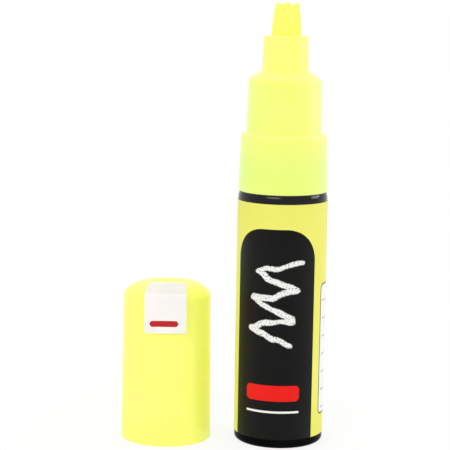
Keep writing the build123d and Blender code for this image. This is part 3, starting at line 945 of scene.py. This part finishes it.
clip_mesh = bmesh.new()
side_points = [
    (clip_front, clip_bottom),
    (clip_front, tongue_front),
    (tongue_end, tongue_top),
    (tongue_end, tongue_bottom),
    (clip_back, tongue_bottom),
    (clip_back, clip_bottom),
]
side_corners = [clip_mesh.verts.new((-clip_width, -reach, height)) for reach, height in side_points]
clip_mesh.faces.new(side_corners)
round_off(clip_mesh, [side_corners[1]], bend_round, segments=10)
round_off(clip_mesh, [side_corners[4]], inner_bend_round, segments=10)
draw_out(clip_mesh, (2 * clip_width, 0, 0))
clip_mesh = combined(clip_mesh, clip_prism(0, clip_bottom - mm, tongue_top + mm), "INTERSECT")
foot_corners = [
    edge for edge in clip_mesh.edges
    if all(vertex.co.z < clip_bottom + foot_margin for vertex in edge.verts)
    and edge.calc_length() < 2 * clip_thickness
]
round_off(clip_mesh, foot_corners, plate_corner, segments=6, affect="EDGES")
sharp = [edge for edge in clip_mesh.edges if edge.calc_face_angle(0) > edge_angle]
round_off(clip_mesh, sharp, clip_edge_round, segments=3, affect="EDGES")
pegs = peg_pair(peg_radius, cap_ceiling + pocket_clearance, tongue_bottom + 0.5 * clip_thickness)
clip_mesh = combined(clip_mesh, pegs, "UNION")
bmesh.ops.transform(clip_mesh, matrix=cap_place, verts=clip_mesh.verts[:])

clip_white = (0.92, 0.895, 0.855, 1)
clip_shaded = (0.87, 0.855, 0.81, 1)
mark_red = (0.50, 0.008, 0.012, 1)

# The places and sizes of the bar are in millimetres too.
mark_half = (3.7, 0.8)
mark_middle = (cap_x / mm, (clip_bottom + 2.6 * mm) / mm)
plate_middle = -(clip_front - 0.5 * clip_thickness) / mm


def clip_plastic():
    """White satin plastic with the plain red bar on the front of the plate."""
    material, tree, shader = new_material("clip_satin")
    relief, smudge = skin_of(tree, grain=0.6 * mm, smudge_size=7 * mm)
    place = put(tree, "Mapping", {
        "Vector": put(tree, "TexCoord").outputs["Object"], "Scale": (1 / mm, 1 / mm, 1 / mm),
    }).outputs["Vector"]
    split = put(tree, "SeparateXYZ", {"Vector": place})
    across, up = split.outputs["X"], split.outputs["Z"]
    mark = ink(tree, rounded_box(tree, across, up, mark_middle, mark_half, mark_half[1]))
    on_front = calc(tree, "LESS_THAN", split.outputs["Y"], plate_middle)
    white = blend_colours(tree, smudge, clip_white, clip_shaded)
    colour = blend_colours(tree, calc(tree, "MULTIPLY", mark, on_front), white, mark_red)
    gloss = ramp(tree, smudge, start=0.44, end=0.54)
    cover(tree, shader, colour, gloss, relief, depth=0.003 * mm, strength=0.5)
    shader.inputs["Specular IOR Level"].default_value = 0.3
    return material


fit_piece("clip_plate", clip_mesh, clip_plastic(), "cap", "clip_white", "cap_clip")


# Studio: a white floor that runs out into a white surround, which reflections and glass show
# as the camera does. Soft lights stand at the upper left, at the right and above, and three
# broad ones fill the shaded sides and the back, and show in no reflection.

floor_white = (0.93, 0.93, 0.93, 1)
floor_size = 0.5
floor_gap = 0.02 * mm
shadow_reach = 0.04
shadow_end = 2.2 * shadow_reach
near_white = 0.84
sky_light = 0.53


def seen_directly(tree):
    """1 where the camera sees something by itself, in a reflection or through glass, and else 0."""
    ray = put(tree, "LightPath")
    reflected = calc(tree, "MAXIMUM", ray.outputs["Is Glossy Ray"], ray.outputs["Is Transmission Ray"])
    return calc(tree, "MAXIMUM", ray.outputs["Is Camera Ray"], reflected)


floor_mesh = bmesh.new()
floor_place = Matrix.Translation((0, 0, -floor_gap))
bmesh.ops.create_grid(floor_mesh, x_segments=1, y_segments=1, size=floor_size / 2, matrix=floor_place)
floor_data = bpy.data.meshes.new("studio_floor")
floor_mesh.to_mesh(floor_data)
floor_mesh.free()
floor = bpy.data.objects.new("studio_floor", floor_data)
bpy.context.scene.collection.objects.link(floor)
floor_finish, floor_tree, floor_shader = new_material("studio_floor")
floor_shader.inputs["Base Color"].default_value = floor_white
floor_shader.inputs["Roughness"].default_value = 0.9
floor_shader.inputs["Specular IOR Level"].default_value = 0.0
on_floor = put(floor_tree, "TexCoord").outputs["Object"]
off_middle = put(floor_tree, "VectorMath", {
    0: on_floor, 1: (cap_x / 2, 0, 0),
}, operation="DISTANCE").outputs["Value"]
far_away = ramp(floor_tree, off_middle, low=shadow_reach, high=shadow_end, start=near_white)
plain_white = put(floor_tree, "Emission", {"Color": (1, 1, 1, 1), "Strength": 1.0})
floor_mix = put(floor_tree, "MixShader", {
    0: calc(floor_tree, "MULTIPLY", far_away, seen_directly(floor_tree)),
    1: floor_shader.outputs["BSDF"], 2: plain_white.outputs["Emission"],
})
floor_tree.links.new(floor_mix.outputs["Shader"], floor_tree.nodes["Material Output"].inputs["Surface"])
floor_data.materials.append(floor_finish)

surround = bpy.data.worlds.new("studio_surround")
bpy.context.scene.world = surround
surround.use_nodes = True
sky = surround.node_tree
strength = calc(sky, "MULTIPLY_ADD", seen_directly(sky), 1 - sky_light, sky_light)
sky.nodes["Background"].inputs["Color"].default_value = (1, 1, 1, 1)
sky.links.new(strength, sky.nodes["Background"].inputs["Strength"])

aim = Vector((-0.010, 0, 0.055))
for name, place, width, height, power in (
    ("soft_front", (-0.35, -0.72, 0.46), 0.60, 0.20, 1.85),
    ("soft_right", (0.73, 0.08, 0.30), 0.46, 0.22, 1.5),
    ("soft_top", (-0.05, 0.05, 0.85), 0.60, 0.60, 1.6),
    ("fill_right", (0.50, -0.66, 0.30), 0.70, 0.70, 1.35),
    ("fill_left", (-0.72, -0.22, 0.30), 0.70, 0.70, 0.95),
    ("fill_back", (0.12, 0.80, 0.25), 0.70, 0.44, 1.5),
):
    lamp_data = bpy.data.lights.new(name, "AREA")
    lamp_data.shape = "ELLIPSE"
    lamp_data.size = width
    lamp_data.size_y = height
    lamp_data.energy = power
    lamp = bpy.data.objects.new(name, lamp_data)
    lamp.location = place
    lamp.visible_glossy = not name.startswith("fill")
    lamp.rotation_euler = (aim - Vector(place)).to_track_quat("-Z", "Y").to_euler()
    bpy.context.scene.collection.objects.link(lamp)

camera_place = Vector((-5.286, -412.907, 119.7155)) * mm
camera_pitch = radians(8.603)
camera_turn = radians(1.3543)
camera_roll = radians(0.9303)
camera_data = bpy.data.cameras.new("camera")
camera_data.lens = 126.86
camera_data.sensor_width = 36
camera_data.clip_start = 0.01
camera = bpy.data.objects.new("camera", camera_data)
camera.matrix_world = (
    Matrix.Translation(camera_place)
    @ Matrix.Rotation(camera_turn, 4, "Z")
    @ Matrix.Rotation(pi / 2 - camera_pitch, 4, "X")
    @ Matrix.Rotation(camera_roll, 4, "Z")
)
bpy.context.scene.collection.objects.link(camera)
bpy.context.scene.camera = camera
bpy.context.scene.view_settings.view_transform = "Standard"
